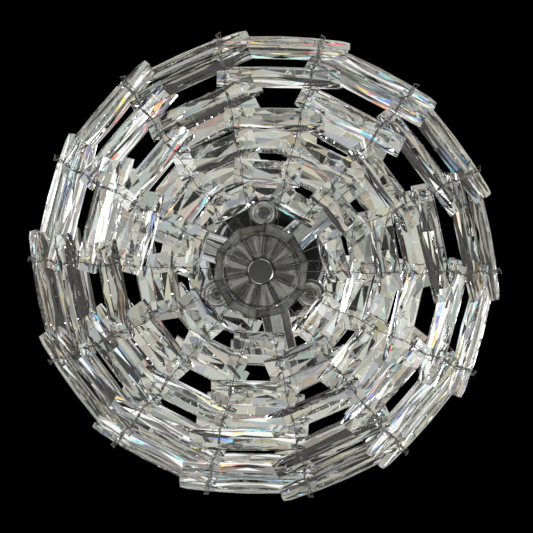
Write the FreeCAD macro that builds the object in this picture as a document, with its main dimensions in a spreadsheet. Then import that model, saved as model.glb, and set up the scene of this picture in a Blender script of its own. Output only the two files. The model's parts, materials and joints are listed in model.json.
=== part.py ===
import FreeCAD, Part
import math
import operator
import os
from types import SimpleNamespace

import Sketcher

# Crystal pendant light, in millimetres.
# +Z points up at the ceiling. The origin is the middle of the bracket's top face, on the ceiling.
# The globe hangs below on a stem. Its own middle is called the centre, and most places in it
# are given as heights above that centre.

Vector = FreeCAD.Vector
Rotation = FreeCAD.Rotation
Placement = FreeCAD.Placement

doc = FreeCAD.newDocument("crystal_pendant_light")
sheet = doc.addObject("Spreadsheet::Sheet", "Sizes")

sizes = [
    ("seat_gap", 0.3, "clearance between a curved face and what it fits"),
    ("running_gap", 0.2, "clearance under a part that turns"),
    ("overrun", 1.0, "how far a cutting shape runs past the face it cuts"),

    ("bracket_length", 110, "ceiling bracket, end to end"),
    ("bracket_width", 25, "ceiling bracket, side to side"),
    ("bracket_sheet", 2, "thickness of its sheet"),
    ("bracket_drop", 12, "ceiling to the underside of its middle"),
    ("bracket_foot", 20, "length of each foot"),
    ("screw_spacing", 90, "between the two ceiling screws"),
    ("screw_hole", 4.8, "hole for a ceiling screw"),
    ("hook_shank", 5, "threaded shank of the hook"),
    ("hook_wire", 4.5, "wire of the hook"),
    ("hook_ring", 18, "middle of the hook's wire, across its ring"),
    ("hook_turn", 300, "degrees of ring in the hook"),
    ("hook_flange", 10, "flange under the bracket"),
    ("flange_height", 2, "height of that flange"),
    ("hook_neck", 1.5, "flange to the middle of the ring's top wire"),
    ("small_nut", 9.2, "hook nut across its corners"),
    ("small_nut_height", 4, "height of the hook nut"),
    ("ring_wire", 4, "wire of the link and of the eye"),
    ("link_ring", 16, "middle of the link's wire, across"),
    ("eye_ring", 16, "middle of the eye's wire, across"),
    ("eye_collar_height", 4, "collar between eye and stem"),
    ("eye_plug", 12, "length of the plug in the stem"),

    ("stem_diameter", 12, "stem tube, outside"),
    ("stem_bore", 9, "stem tube, inside"),
    ("stem_length", 438, "stem tube, end to end"),
    ("stem_end", 10, "stem's lower end above the centre"),
    ("canopy_diameter", 130, "canopy cup, outside"),
    ("canopy_wall", 1.2, "sheet of the cup"),
    ("canopy_depth", 88, "height of the cup"),
    ("canopy_corner", 16, "outer radius where side meets floor"),
    ("canopy_gap", 6, "cup's rim below the ceiling"),
    ("slide_clearance", 0.4, "stem to the bore of cup and collar"),
    ("collar_diameter", 24, "canopy collar"),
    ("collar_height", 14, "canopy collar"),
    ("screw_diameter", 4, "thumb screw thread"),
    ("screw_head", 9, "thumb screw head"),
    ("screw_head_height", 5, "thumb screw head"),

    ("block_depth", 16, "terminal block, away from the stem"),
    ("block_width", 26, "terminal block, along the bracket's width"),
    ("block_height", 20, "terminal block"),
    ("block_offset", 11, "stem's middle to the block's near face"),
    ("block_top", 66, "top of the block below the ceiling"),
    ("clip_wall", 2, "clip that holds the block on the stem"),
    ("clip_height", 8, "height of that clip"),
    ("entry_diameter", 3.5, "wire entry of the terminal block"),
    ("entry_depth", 12, "depth of a wire entry"),
    ("entry_spacing", 8, "between wire entries"),
    ("cable_diameter", 4, "cable in the stem"),
    ("cable_bend", 10, "radius of the cable where it enters the stem"),
    ("cable_hole", 7, "hole in the stem for the cable"),

    ("hub_diameter", 46, "hub, outside"),
    ("hub_wall", 2, "wall of the hub"),
    ("hub_height", 40, "hub without its cover"),
    ("hub_cover_height", 2, "hub cover"),
    ("connector_diameter", 24, "connector in the hub"),
    ("connector_height", 10, "connector in the hub"),
    ("big_nut", 22, "stem nut across its corners"),
    ("rod_nut", 15, "rod nut across its corners"),
    ("nut_height", 5, "stem nut and rod nut"),
    ("rod_diameter", 8, "lower tie rod"),
    ("rod_top", 11, "rod's upper end below the centre"),

    ("side_lamp_drop", 6, "sideways lamps below the centre"),
    ("down_lamp_circle", 107, "circle that the down lamps stand on"),
    ("arm_height", 12, "arms above the centre"),
    ("arm_diameter", 13, "arm tube, outside"),
    ("arm_bore", 10.4, "arm tube and hub port, inside"),
    ("arm_bend", 12, "radius of the arm's middle line"),
    ("arm_tail", 2, "straight end of the arm below its bend"),
    ("nipple_diameter", 9.8, "nipple of a lampholder stirrup"),
    ("nipple_bore", 6, "bore for the lead"),
    ("nipple_length", 4, "nipple behind the stirrup's foot"),
    ("stirrup_foot", 20, "round foot of the stirrup"),
    ("stirrup_sheet", 1.5, "sheet of the stirrup"),
    ("stirrup_width", 8, "width of its straps"),
    ("stirrup_height", 24, "foot to lampholder"),
    ("holder_diameter", 23, "lampholder"),
    ("holder_length", 37, "lampholder"),
    ("socket_bore", 14.6, "socket of the lampholder"),
    ("socket_depth", 24, "depth of the socket"),
    ("sleeve_diameter", 28, "chrome lamp sleeve, outside"),
    ("sleeve_wall", 0.8, "wall of the sleeve"),
    ("sleeve_length", 63, "length of the sleeve"),
    ("cap_diameter", 14, "screw cap of a lamp"),
    ("cap_length", 20, "screw cap of a lamp"),
    ("contact_diameter", 5, "end contact of a lamp"),
    ("contact_height", 2.5, "end contact of a lamp"),
    ("glass_diameter", 22, "lamp glass, outside"),
    ("glass_length", 50, "lamp glass from cap to tip"),
    ("glass_wall", 0.9, "wall of the lamp glass"),
    ("glass_shoulder", 7, "height of the shoulder above the cap"),
    ("mount_stem", 6, "glass stem of the wire mount, at its foot"),
    ("mount_stem_height", 14, "glass stem of the wire mount"),
    ("mount_wire", 0.8, "support wires"),
    ("mount_spread", 5, "support wires to the lamp's middle"),
    ("mount_height", 30, "top of the support wires above the cap"),

    ("strand_radius", 226, "centre to the holes of the crystals"),
    ("row_angle", 8.05, "degrees from row to row"),
    ("end_angle", 50, "degrees from upright of the last step of a strand"),
    ("end_row_lean", 62, "degrees of lean of the last row"),
    ("tile_lean", 4.5, "degrees that each tiled row leans more than the row before it"),
    ("first_strand", 1.5, "degrees of the first strand"),
    ("crystal_width", 24.6, "crystal bar, across"),
    ("crystal_crown", 8, "hole line to the table at its highest"),
    ("crystal_table", 17, "width of the table facet"),
    ("crown_radius", 500, "arc of the table along the bar"),
    ("front_edge", 2, "hole line to the upper edge of the side"),
    ("back_edge", 2.5, "hole line to the lower edge of the side"),
    ("back_ridge", 4.5, "hole line to the ridge of the back"),
    ("front_hip", 20, "length of the end facet in front"),
    ("back_hip", 26, "length of the end facet at the back"),
    ("corner_cut", 1.5, "cut corners of the bar, seen from the front"),
    ("long_end", 29, "bar past its strand at the long end"),
    ("long_end_trim", 5, "how much shorter it gets with each of the last rows"),
    ("short_end", 8, "bar past its strand at the short end"),
    ("crystal_hole", 3, "hole for the wires"),
    ("rocking", 6, "degrees that a hung bar of the equator leans either way"),
    ("sway", 4, "degrees that a hung bar near a pole slants either way"),

    ("wire_diameter", 0.8, "wire of the links"),
    ("wire_gap", 0.3, "between the two wires in one hole"),
    ("wire_bend", 1.2, "bend radius of the wire"),
    ("wire_lift", 3.4, "wire's middle above the table facet"),
    ("wire_tail", 3, "hooked end of a wire"),
    ("tail_gap", 1.3, "hooked end behind the ridge"),
    ("tie_lift", 3, "tie above its plate before it leaves for the crystals"),

    ("plate_diameter", 73.2, "end plates of the globe"),
    ("plate_thickness", 3, "end plates of the globe"),
    ("plate_lift", 27.84, "last row of holes to the inner face of an end plate"),
    ("pin_circle", 66, "circle of the strand holes in a plate"),
    ("pin_hole", 2.4, "strand hole in a plate"),
    ("spacer_diameter", 20, "spacer between plate and dish"),
    ("spacer_height", 3.8, "spacer between plate and dish"),
    ("dish_diameter", 94.8, "crystal dish across its corners, at the rim"),
    ("dish_middle", 77, "the same where rim facets meet bottom facets"),
    ("dish_bottom", 35.4, "the same at the flat bottom"),
    ("dish_height", 15.5, "crystal dish"),
    ("dish_slope", 4.5, "height of the bottom facets"),
    ("dish_floor", 9, "thickness of the dish's floor"),
    ("dish_rim", 3.5, "thickness of the rim"),
    ("dish_well", 68, "floor of the hollow, across its corners"),
    ("dish_turn", -11.5, "degrees of the dish's first corner"),
    ("washer_diameter", 27.2, "washer under the dish"),
    ("washer_height", 1.5, "washer under the dish"),
    ("knob_diameter", 24.8, "bottom knob"),
    ("knob_height", 8, "bottom knob"),
    ("knob_chamfer", 0.8, "edge of the knob"),
    ("knob_bore_depth", 6, "threaded bore of the knob"),
    ("rod_in_knob", 5, "length of rod inside the knob"),
]

strandCount = 14
rowsEachSide = 9
lastUprightRow = 4
lastLongRow = 5
lastMatchingRow = 5
lampsEachKind = 3
dishSides = 10


class Size:
    """A length or an angle that keeps the formula it was worked out by."""

    def __init__(self, value, formula):
        self.value = value
        self.formula = formula

    def __add__(self, other):
        return combine(self, "+", other)

    def __sub__(self, other):
        return combine(self, "-", other)

    def __mul__(self, other):
        return combine(self, "*", other)

    def __truediv__(self, other):
        return combine(self, "/", other)

    def __neg__(self):
        return Size(-self.value, f"(0 - {self.formula})")


signs = {"+": operator.add, "-": operator.sub, "*": operator.mul, "/": operator.truediv}


def asSize(item):
    return item if isinstance(item, Size) else Size(float(item), repr(float(item)))


def combine(left, sign, right):
    left, right = asSize(left), asSize(right)
    return Size(signs[sign](left.value, right.value), f"({left.formula} {sign} {right.formula})")


def sine(angle):
    return Size(math.sin(math.radians(angle.value)), f"sin({angle.formula})")


def cosine(angle):
    return Size(math.cos(math.radians(angle.value)), f"cos({angle.formula})")


def readSheet():
    """Writes the sizes into the sheet and gives them back as values with their cell's name."""
    for row, (alias, value, note) in enumerate(sizes, start=1):
        sheet.set(f"A{row}", alias)
        sheet.set(f"B{row}", str(value))
        sheet.setAlias(f"B{row}", alias)
        sheet.set(f"C{row}", note)
    doc.recompute()
    cells = {alias: Size(float(sheet.get(alias)), f"Sizes.{alias}") for alias, _, _ in sizes}
    return SimpleNamespace(**cells)


s = readSheet()
nodes = []


# Tools for drawing

def named(thing, label):
    """Gives a sub-part its name and puts it on the list of files."""
    thing.Label = label
    nodes.append(thing)
    return thing


def bind(thing, **formulas):
    for name, size in formulas.items():
        thing.setExpression(name, asSize(size).formula)
    return thing


def place(thing, x=0, y=0, z=0, turn=None):
    if turn is not None:
        thing.Placement = Placement(Vector(), turn)
    for axis, size in (("x", x), ("y", y), ("z", z)):
        thing.setExpression(f"Placement.Base.{axis}", asSize(size).formula)
    return thing


def pin(sketch, item, corner, place2d):
    """Holds one corner of a sketch at its two distances from the sketch's origin."""
    for kind, axis, size in (("DistanceX", -2, place2d[0]), ("DistanceY", -1, place2d[1])):
        size = asSize(size)
        if size.formula == "0.0":
            sketch.addConstraint(Sketcher.Constraint("PointOnObject", item, corner, axis))
            continue
        number = sketch.addConstraint(Sketcher.Constraint(kind, -1, 1, item, corner, size.value))
        sketch.setExpression(f"Constraints[{number}]", size.formula)


def outline(sketch, corners):
    """Draws a closed outline through the corners, each held by its own two sizes."""
    points = [Vector(asSize(x).value, asSize(y).value, 0) for x, y in corners]
    for start, end in zip(points, points[1:] + points[:1]):
        sketch.addGeometry(Part.LineSegment(start, end), False)
    for item in range(len(points)):
        sketch.addConstraint(Sketcher.Constraint("Coincident", item, 2, (item + 1) % len(points), 1))
        pin(sketch, item, 1, corners[item])


def ringSketch(sketch, x, y, diameter):
    """Draws one circle at x, y."""
    item = sketch.addGeometry(Part.Circle(Vector(asSize(x).value, asSize(y).value, 0),
                                          Vector(0, 0, 1), diameter.value / 2), False)
    number = sketch.addConstraint(Sketcher.Constraint("Diameter", item, diameter.value))
    sketch.setExpression(f"Constraints[{number}]", diameter.formula)
    pin(sketch, item, 3, (x, y))


def bodySketch(body, name, role):
    sketch = body.newObject("Sketcher::SketchObject", name)
    plane = next(item for item in body.Origin.OriginFeatures if item.Role == role)
    sketch.AttachmentSupport = (plane, [""])
    sketch.MapMode = "FlatFace"
    return sketch


def turned(label, corners):
    """A turned part: its half section, given as radius and height, spun round the Z axis."""
    body = doc.addObject("PartDesign::Body", label)
    sketch = bodySketch(body, label + "_section", "XZ_Plane")
    outline(sketch, corners)
    spin = body.newObject("PartDesign::Revolution", label + "_spin")
    spin.Profile = sketch
    spin.ReferenceAxis = (sketch, ["V_Axis"])
    spin.Angle = 360
    return body


def padded(label, role, corners, length):
    """A flat outline given thickness to both sides of its plane."""
    body = doc.addObject("PartDesign::Body", label)
    sketch = bodySketch(body, label + "_outline", role)
    outline(sketch, corners)
    pad = body.newObject("PartDesign::Pad", label + "_pad")
    pad.Profile = sketch
    pad.Midplane = True
    bind(pad, Length=length)
    return body


def drilled(body, name, role, circles, sides="both"):
    """Cuts round holes through a body, square to one of its origin planes."""
    sketch = bodySketch(body, name + "_circles", role)
    for x, y, diameter in circles:
        ringSketch(sketch, x, y, diameter)
    pocket = body.newObject("PartDesign::Pocket", name)
    pocket.Profile = sketch
    pocket.Type = "ThroughAll"
    pocket.Midplane = sides == "both"
    pocket.Reversed = sides == "reversed"
    return pocket


def around(body, feature, count):
    """Repeats a cut round the body's Z axis."""
    pattern = body.newObject("PartDesign::PolarPattern", feature.Name + "_round")
    pattern.Originals = [feature]
    axis = next(item for item in body.Origin.OriginFeatures if item.Role == "Z_Axis")
    pattern.Axis = (axis, [""])
    pattern.Angle = 360
    pattern.Occurrences = count
    body.Tip = pattern
    return pattern


def cylinder(name, diameter, height, x=0, y=0, z=0, turn=None):
    item = doc.addObject("Part::Cylinder", name)
    bind(item, Radius=diameter / 2, Height=height)
    return place(item, x, y, z, turn)


def box(name, x, y, z, length, width, height):
    """A box with its lowest corner at x, y, z."""
    item = doc.addObject("Part::Box", name)
    bind(item, Length=length, Width=width, Height=height)
    return place(item, x, y, z)


def torus(name, ring, wire, z, turn, sweep=None):
    item = doc.addObject("Part::Torus", name)
    bind(item, Radius1=ring / 2, Radius2=wire / 2)
    if sweep is not None:
        bind(item, Angle3=sweep)
    return place(item, z=z, turn=turn)


def sphere(name, diameter, z):
    item = doc.addObject("Part::Sphere", name)
    bind(item, Radius=diameter / 2)
    return place(item, z=z)


def joined(name, pieces):
    item = doc.addObject("Part::MultiFuse", name)
    item.Shapes = pieces
    return item


def cut(name, base, tool):
    item = doc.addObject("Part::Cut", name)
    item.Base = base
    item.Tool = tool
    return item


def shared(name, pieces):
    item = doc.addObject("Part::MultiCommon", name)
    item.Shapes = pieces
    return item


def shaped(label, shape, z=None):
    """A sub-part whose shape is worked out below, hung at a height."""
    item = doc.addObject("Part::Feature", label)
    item.Shape = shape
    if z is not None:
        place(item, z=z)
    return named(item, label)


def hexNut(name, corners, bore, height):
    prism = doc.addObject("Part::Prism", name + "_prism")
    prism.Polygon = 6
    bind(prism, Circumradius=corners / 2, Height=height)
    return cut(name, prism, cylinder(name + "_bore", bore, height + s.overrun * 2, z=-s.overrun))


def bentWire(points, bend, diameter):
    """A round wire along straight runs that are joined by arcs of one radius."""
    edges = []
    start = points[0]
    for before, corner, after in zip(points, points[1:], points[2:]):
        inward = (before - corner).normalize()
        onward = (after - corner).normalize()
        turn = math.pi - inward.getAngle(onward)
        reach = bend * math.tan(turn / 2)
        middle = (inward + onward).normalize() * (bend / math.cos(turn / 2) - bend)
        first, last = corner + inward * reach, corner + onward * reach
        edges.append(Part.LineSegment(start, first).toShape())
        edges.append(Part.Arc(first, corner + middle, last).toShape())
        start = last
    edges.append(Part.LineSegment(start, points[-1]).toShape())
    route = Part.Wire(edges)
    circle = Part.Circle(points[0], points[1] - points[0], diameter / 2)
    return route.makePipeShell([Part.Wire([circle.toShape()])], True, False)


# Rotations that stand a Z axis along X, and a sketch upright

alongX = Rotation(Vector(0, 1, 0), 90)
ringFacesY = Rotation(Vector(1, 0, 0), 90)
uprightXZ = Rotation(Vector(1, 0, 0), 90)
uprightYZ = Rotation(0.5, 0.5, 0.5, 0.5)


# Heights of the hanging parts, measured from the ceiling

stripUnderside = -s.bracket_drop
hookMiddle = stripUnderside - s.flange_height - s.hook_neck - s.hook_ring / 2
hookToLink = (s.hook_wire + s.ring_wire) / 2 + s.seat_gap
linkMiddle = hookMiddle - s.hook_ring / 2 + hookToLink - s.link_ring / 2
eyeMiddle = linkMiddle - s.link_ring / 2 + s.ring_wire + s.seat_gap - s.eye_ring / 2
collarTop = eyeMiddle - s.eye_ring / 2 - s.ring_wire / 4
stemTop = collarTop - s.eye_collar_height
centre = stemTop - s.stem_length - s.stem_end
canopyRim = -s.canopy_gap
canopyBottom = canopyRim - s.canopy_depth
hubTop = s.hub_height / 2
hubBottom = -s.hub_height / 2


# Rows of crystals, counted from the equator, and the end plates beyond the last ones

def rowRing(row):
    """Radius of the circle through the holes of a row, counted from the equator."""
    if row < rowsEachSide:
        return s.strand_radius * cosine(s.row_angle * row)
    return rowRing(row - 1) - strandPitch() * sine(s.end_angle)


def rowReach(row):
    """Height of those holes above or below the centre."""
    if row < rowsEachSide:
        return s.strand_radius * sine(s.row_angle * row)
    return rowReach(row - 1) + strandPitch() * cosine(s.end_angle)


def strandPitch():
    return s.strand_radius * 2 * sine(s.row_angle / 2)


plateReach = rowReach(rowsEachSide) + s.plate_lift


# Ceiling bracket, hook, link and eye

def ceilingBracket():
    half, sheetSide = s.bracket_length / 2, s.bracket_sheet
    web = half - s.bracket_foot
    inside = web - sheetSide
    right = [(inside, stripUnderside + sheetSide), (inside, 0), (half, 0), (half, -sheetSide),
             (web, -sheetSide), (web, stripUnderside)]
    left = [(-x, z) for x, z in reversed(right)]
    body = padded("ceiling_bracket", "XZ_Plane", right + left, s.bracket_width)
    drilled(body, "screw_holes", "XY_Plane", [
        (s.screw_spacing / 2, 0, s.screw_hole),
        (-s.screw_spacing / 2, 0, s.screw_hole),
        (0, 0, s.hook_shank + s.seat_gap * 2)])
    return named(place(body), "ceiling_bracket")


def ceilingHook():
    ring = torus("hook_ring_wire", s.hook_ring, s.hook_wire, hookMiddle,
                 Rotation(Vector(0, 1, 0), -90) * Rotation(Vector(1, 0, 0), 90), s.hook_turn)
    flange = cylinder("hook_flange_disc", s.hook_flange, s.flange_height,
                      z=stripUnderside - s.flange_height)
    neck = cylinder("hook_neck_pin", s.hook_wire, s.flange_height / 2 + s.hook_neck,
                    z=stripUnderside - s.flange_height - s.hook_neck)
    shankLength = s.bracket_sheet + s.small_nut_height + s.overrun
    shank = cylinder("hook_shank_pin", s.hook_shank, shankLength + s.flange_height / 2,
                     z=stripUnderside - s.flange_height / 2)
    return named(joined("ceiling_hook", [ring, flange, neck, shank]), "ceiling_hook")


def hookNut():
    nut = hexNut("hook_nut", s.small_nut, s.hook_shank + s.seat_gap * 2, s.small_nut_height)
    return named(place(nut, z=stripUnderside + s.bracket_sheet), "hook_nut")


def hangingLink():
    return named(torus("hanging_link", s.link_ring, s.ring_wire, linkMiddle, alongX), "hanging_link")


def stemEye():
    ring = torus("eye_ring_wire", s.eye_ring, s.ring_wire, eyeMiddle, ringFacesY)
    collar = cylinder("eye_collar", s.stem_diameter, s.eye_collar_height, z=stemTop)
    plugDiameter = s.stem_bore - s.seat_gap * 2
    plug = cylinder("eye_plug_pin", plugDiameter, s.eye_plug + s.eye_collar_height / 2,
                    z=stemTop - s.eye_plug)
    return named(joined("stem_eye", [ring, collar, plug]), "stem_eye")


# Canopy: cup, collar and thumb screw, which slide together on the stem

slideBore = s.stem_diameter + s.slide_clearance * 2


def canopyCup():
    outer = cylinder("cup_outer", s.canopy_diameter, s.canopy_depth, z=canopyBottom)
    inner = cylinder("cup_inner", s.canopy_diameter - s.canopy_wall * 2,
                     s.canopy_depth + s.overrun, z=canopyBottom + s.canopy_wall)
    doc.recompute()
    cup = cut("cup_sheet", rounded("cup_outer_rounded", outer, s.canopy_corner),
              rounded("cup_inner_rounded", inner, s.canopy_corner - s.canopy_wall))
    bore = cylinder("cup_bore", slideBore, s.canopy_depth / 2, z=canopyBottom - s.overrun)
    return named(cut("canopy_cup", cup, bore), "canopy_cup")


def rounded(name, solid, radius):
    """Rounds the lowest round edge of an upright cylinder."""
    lowest = min(range(len(solid.Shape.Edges)),
                 key=lambda item: solid.Shape.Edges[item].CenterOfMass.z)
    item = doc.addObject("Part::Fillet", name)
    item.Base = solid
    item.Edges = [(lowest + 1, radius.value, radius.value)]
    return item


def canopyCollar():
    collar = turned("canopy_collar", [
        (slideBore / 2, 0), (s.collar_diameter / 2, 0),
        (s.collar_diameter / 2, -s.collar_height), (slideBore / 2, -s.collar_height)])
    hole = bodySketch(collar, "screw_hole_circle", "YZ_Plane")
    ringSketch(hole, 0, -s.collar_height / 2, s.screw_diameter + s.seat_gap * 2)
    pocket = collar.newObject("PartDesign::Pocket", "thumb_screw_hole")
    pocket.Profile = hole
    pocket.Type = "Length"
    pocket.Reversed = True
    bind(pocket, Length=s.collar_diameter)
    return named(place(collar, z=canopyBottom), "canopy_collar")


def thumbScrew():
    shank, head = s.screw_diameter / 2, s.screw_head / 2
    tip = s.stem_diameter / 2 + s.seat_gap
    seat = s.collar_diameter / 2 + s.running_gap
    screw = turned("canopy_thumb_screw", [
        (0, tip), (shank, tip), (shank, seat), (head, seat),
        (head, seat + s.screw_head_height), (0, seat + s.screw_head_height)])
    place(screw, z=canopyBottom - s.collar_height / 2, turn=alongX)
    return named(screw, "canopy_thumb_screw")


# Stem, terminal block and cable

cableEntry = -s.block_top - s.block_height * 0.75


def stemTube():
    tube = turned("stem_tube", [
        (s.stem_bore / 2, 0), (s.stem_diameter / 2, 0),
        (s.stem_diameter / 2, -s.stem_length), (s.stem_bore / 2, -s.stem_length)])
    hole = bodySketch(tube, "cable_hole_circle", "YZ_Plane")
    ringSketch(hole, 0, cableEntry - stemTop - s.overrun, s.cable_hole)
    pocket = tube.newObject("PartDesign::Pocket", "cable_hole_cut")
    pocket.Profile = hole
    pocket.Type = "Length"
    bind(pocket, Length=s.stem_diameter)
    return named(place(tube, z=stemTop), "stem_tube")


def terminalBlock():
    block = box("block_body", -s.block_offset - s.block_depth, -s.block_width / 2,
                -s.block_top - s.block_height, s.block_depth, s.block_width, s.block_height)
    clipOuter = s.stem_diameter + s.seat_gap * 2 + s.clip_wall * 2
    clip = cylinder("clip_ring", clipOuter, s.clip_height, z=-s.block_top - s.clip_height)
    web = box("clip_web", -s.block_offset - s.overrun, -s.clip_wall,
              -s.block_top - s.clip_height, s.block_offset, s.clip_wall * 2, s.clip_height)
    bore = cylinder("clip_bore", s.stem_diameter + s.seat_gap * 2,
                    s.clip_height + s.overrun * 2, z=-s.block_top - s.clip_height - s.overrun)
    entries = [cylinder(f"wire_entry_{number + 2}", s.entry_diameter, s.entry_depth + s.overrun,
                        x=-s.block_offset - s.block_depth / 2, y=s.entry_spacing * number,
                        z=-s.block_top - s.entry_depth) for number in (-1, 0, 1)]
    solid = joined("block_solid", [block, clip, web])
    return named(cut("terminal_block", solid, joined("block_cuts", [bore] + entries)),
                 "terminal_block")


def lampCable():
    entry, bend = cableEntry.value, s.cable_bend.value
    lower = centre.value - s.rod_top.value + s.connector_height.value
    route = [Vector(-s.block_offset.value, 0, entry), Vector(0, 0, entry), Vector(0, 0, lower)]
    return shaped("lamp_cable", bentWire(route, bend, s.cable_diameter.value))


# Hub, its cover, its connector and the nuts

def hubBody():
    radius, inner = s.hub_diameter / 2, s.hub_diameter / 2 - s.hub_wall
    bore = s.stem_diameter / 2 + s.seat_gap
    hub = turned("hub_shell", [
        (bore, hubTop), (radius, hubTop), (radius, hubBottom), (inner, hubBottom),
        (inner, hubTop - s.hub_wall), (bore, hubTop - s.hub_wall)])
    place(hub, z=centre)
    ports = []
    for kind, height, wide in (("side", -s.side_lamp_drop, s.arm_bore),
                               ("arm", s.arm_height, s.arm_diameter + s.seat_gap * 2)):
        for number in range(lampsEachKind):
            angle = lampAngle(kind, number)
            turn = Rotation(Vector(0, 0, 1), angle) * alongX
            ports.append(cylinder(f"{kind}_port_{number + 1}", wide, s.hub_diameter,
                                  z=centre + height, turn=turn))
    return named(cut("hub_body", hub, joined("hub_ports", ports)), "hub_body")


def hubCover():
    inner = s.hub_diameter / 2 - s.hub_wall - s.seat_gap
    bore = s.rod_diameter / 2 + s.seat_gap
    cover = turned("hub_cover", [
        (bore, 0), (inner, 0), (inner, -s.hub_cover_height),
        (s.hub_diameter / 2, -s.hub_cover_height),
        (s.hub_diameter / 2, -s.hub_cover_height * 2), (bore, -s.hub_cover_height * 2)])
    return named(place(cover, z=centre + hubBottom + s.hub_cover_height), "hub_cover")


def hubConnector():
    connector = cylinder("hub_connector", s.connector_diameter, s.connector_height,
                         z=centre - s.rod_top)
    return named(connector, "hub_connector")


def nutPlaces(heights):
    return [Placement(Vector(0, 0, height.value), Rotation()) for height in heights]


def copies(label, blank, placements, z=None):
    """Separate solids of one kind that share a node."""
    pieces = []
    for spot in placements:
        piece = blank.Shape.copy()
        piece.Placement = spot * piece.Placement
        pieces.append(piece)
    return shaped(label, Part.makeCompound(pieces), z)


def nuts():
    stemBlank = hexNut("stem_nut_blank", s.big_nut, s.stem_diameter + s.seat_gap * 2, s.nut_height)
    rodBlank = hexNut("rod_nut_blank", s.rod_nut, s.rod_diameter + s.seat_gap * 2, s.nut_height)
    doc.recompute()
    copies("stem_nuts", stemBlank, nutPlaces([
        plateReach + s.plate_thickness,
        plateReach - s.nut_height,
        hubTop - s.hub_wall - s.nut_height]), centre)
    copies("rod_nuts", rodBlank, nutPlaces([
        hubBottom + s.hub_cover_height,
        -plateReach]), centre)


# Lamps. A lamp is drawn upright, with its foot at the origin and its glass above.

def lampAngle(kind, number):
    """Where a lamp stands round the hub, in degrees."""
    firstSide, firstDown = -42, -90
    first = firstSide if kind == "side" else firstDown
    return first - 360 / lampsEachKind * number


def lampPlaces():
    """Six placements about the centre: three lamps point sideways and three point down."""
    spots = []
    for number in range(lampsEachKind):
        turn = Rotation(Vector(0, 0, 1), lampAngle("side", number))
        foot = turn.multVec(Vector(s.hub_diameter.value / 2, 0, -s.side_lamp_drop.value))
        spots.append(Placement(foot, turn * alongX))
    for number in range(lampsEachKind):
        turn = Rotation(Vector(0, 0, 1), lampAngle("arm", number))
        drop = s.arm_height.value - s.arm_bend.value - s.arm_tail.value
        foot = turn.multVec(Vector(s.down_lamp_circle.value / 2, 0, drop))
        spots.append(Placement(foot, turn * Rotation(Vector(0, 1, 0), 180)))
    return spots


def lampArms():
    """Tubes that leave the hub level and bend down to the lamps."""
    start = s.hub_diameter.value / 2 - s.hub_wall.value * 2
    height, tail = s.arm_height.value, s.arm_bend.value + s.arm_tail.value
    circle = s.down_lamp_circle.value / 2
    route = [Vector(start, 0, height), Vector(circle, 0, height), Vector(circle, 0, height - tail)]
    outer = bentWire(route, s.arm_bend.value, s.arm_diameter.value)
    inner = bentWire(route, s.arm_bend.value, s.arm_bore.value)
    tube = outer.cut(inner)
    pieces = []
    for number in range(lampsEachKind):
        piece = tube.copy()
        piece.rotate(Vector(), Vector(0, 0, 1), lampAngle("arm", number))
        pieces.append(piece)
    return shaped("lamp_arms", Part.makeCompound(pieces), centre)


def stirrupBlank():
    """Foot on the sleeve's floor, nipple through it, and two straps up to the lampholder."""
    foot = cylinder("stirrup_foot_disc", s.stirrup_foot, s.stirrup_sheet, z=s.sleeve_wall)
    nippleHeight = s.nipple_length + s.sleeve_wall + s.stirrup_sheet / 2
    nipple = cylinder("stirrup_nipple", s.nipple_diameter, nippleHeight, z=-s.nipple_length)
    straps = []
    edge = s.stirrup_foot / 2 - s.stirrup_sheet
    for side, start in ((1, edge - s.stirrup_sheet), (-1, -edge)):
        straps.append(box(f"strap_{side + 2}", start, -s.stirrup_width / 2, s.sleeve_wall,
                          s.stirrup_sheet, s.stirrup_width, s.stirrup_height - s.sleeve_wall))
    bore = cylinder("stirrup_bore", s.nipple_bore, nippleHeight * 2,
                    z=-s.nipple_length - s.overrun)
    return cut("stirrup_blank", joined("stirrup_solid", [foot, nipple] + straps), bore)


def holderBlank():
    radius, bore = s.holder_diameter / 2, s.socket_bore / 2
    bottom, top = s.stirrup_height, s.stirrup_height + s.holder_length
    floor = top - s.socket_depth
    return turned("holder_blank", [
        (0, bottom), (radius, bottom), (radius, top), (bore, top), (bore, floor), (0, floor)])


def sleeveBlank():
    """A tube with a floor that the stirrup clamps to the hub or to the arm's end."""
    radius = s.sleeve_diameter / 2
    inner = radius - s.sleeve_wall
    bore = s.nipple_diameter / 2 + s.seat_gap
    return turned("sleeve_blank", [
        (bore, 0), (radius, 0), (radius, s.sleeve_length), (inner, s.sleeve_length),
        (inner, s.sleeve_wall), (bore, s.sleeve_wall)])


lampCapTop = s.stirrup_height + s.holder_length + s.running_gap * 2
lampCapBottom = lampCapTop - s.cap_length


def capBlank():
    radius, contact = s.cap_diameter / 2, s.contact_diameter / 2
    return turned("cap_blank", [
        (0, lampCapBottom - s.contact_height), (contact, lampCapBottom - s.contact_height),
        (contact, lampCapBottom), (radius, lampCapBottom + s.contact_height),
        (radius, lampCapTop), (0, lampCapTop)])


def glassBlank():
    """A clear tube with a round tip and a shoulder that closes onto the cap."""
    wall = s.glass_wall
    solids = []
    for name, diameter, neck, lower in (
            ("outside", s.glass_diameter, s.cap_diameter, lampCapTop),
            ("inside", s.glass_diameter - wall * 2, s.cap_diameter - wall * 2,
             lampCapTop - s.overrun)):
        shoulder = lampCapTop + s.glass_shoulder
        top = lampCapTop + s.glass_length - s.glass_diameter / 2
        half = turned(f"glass_{name}", [
            (0, lower), (neck / 2, lower), (neck / 2, lampCapTop + wall),
            (diameter / 2, shoulder), (diameter / 2, top), (0, top)])
        tip = sphere(f"glass_{name}_tip", diameter, top)
        solids.append(joined(f"glass_{name}_solid", [half, tip]))
    return cut("glass_blank", solids[0], solids[1])


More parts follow.
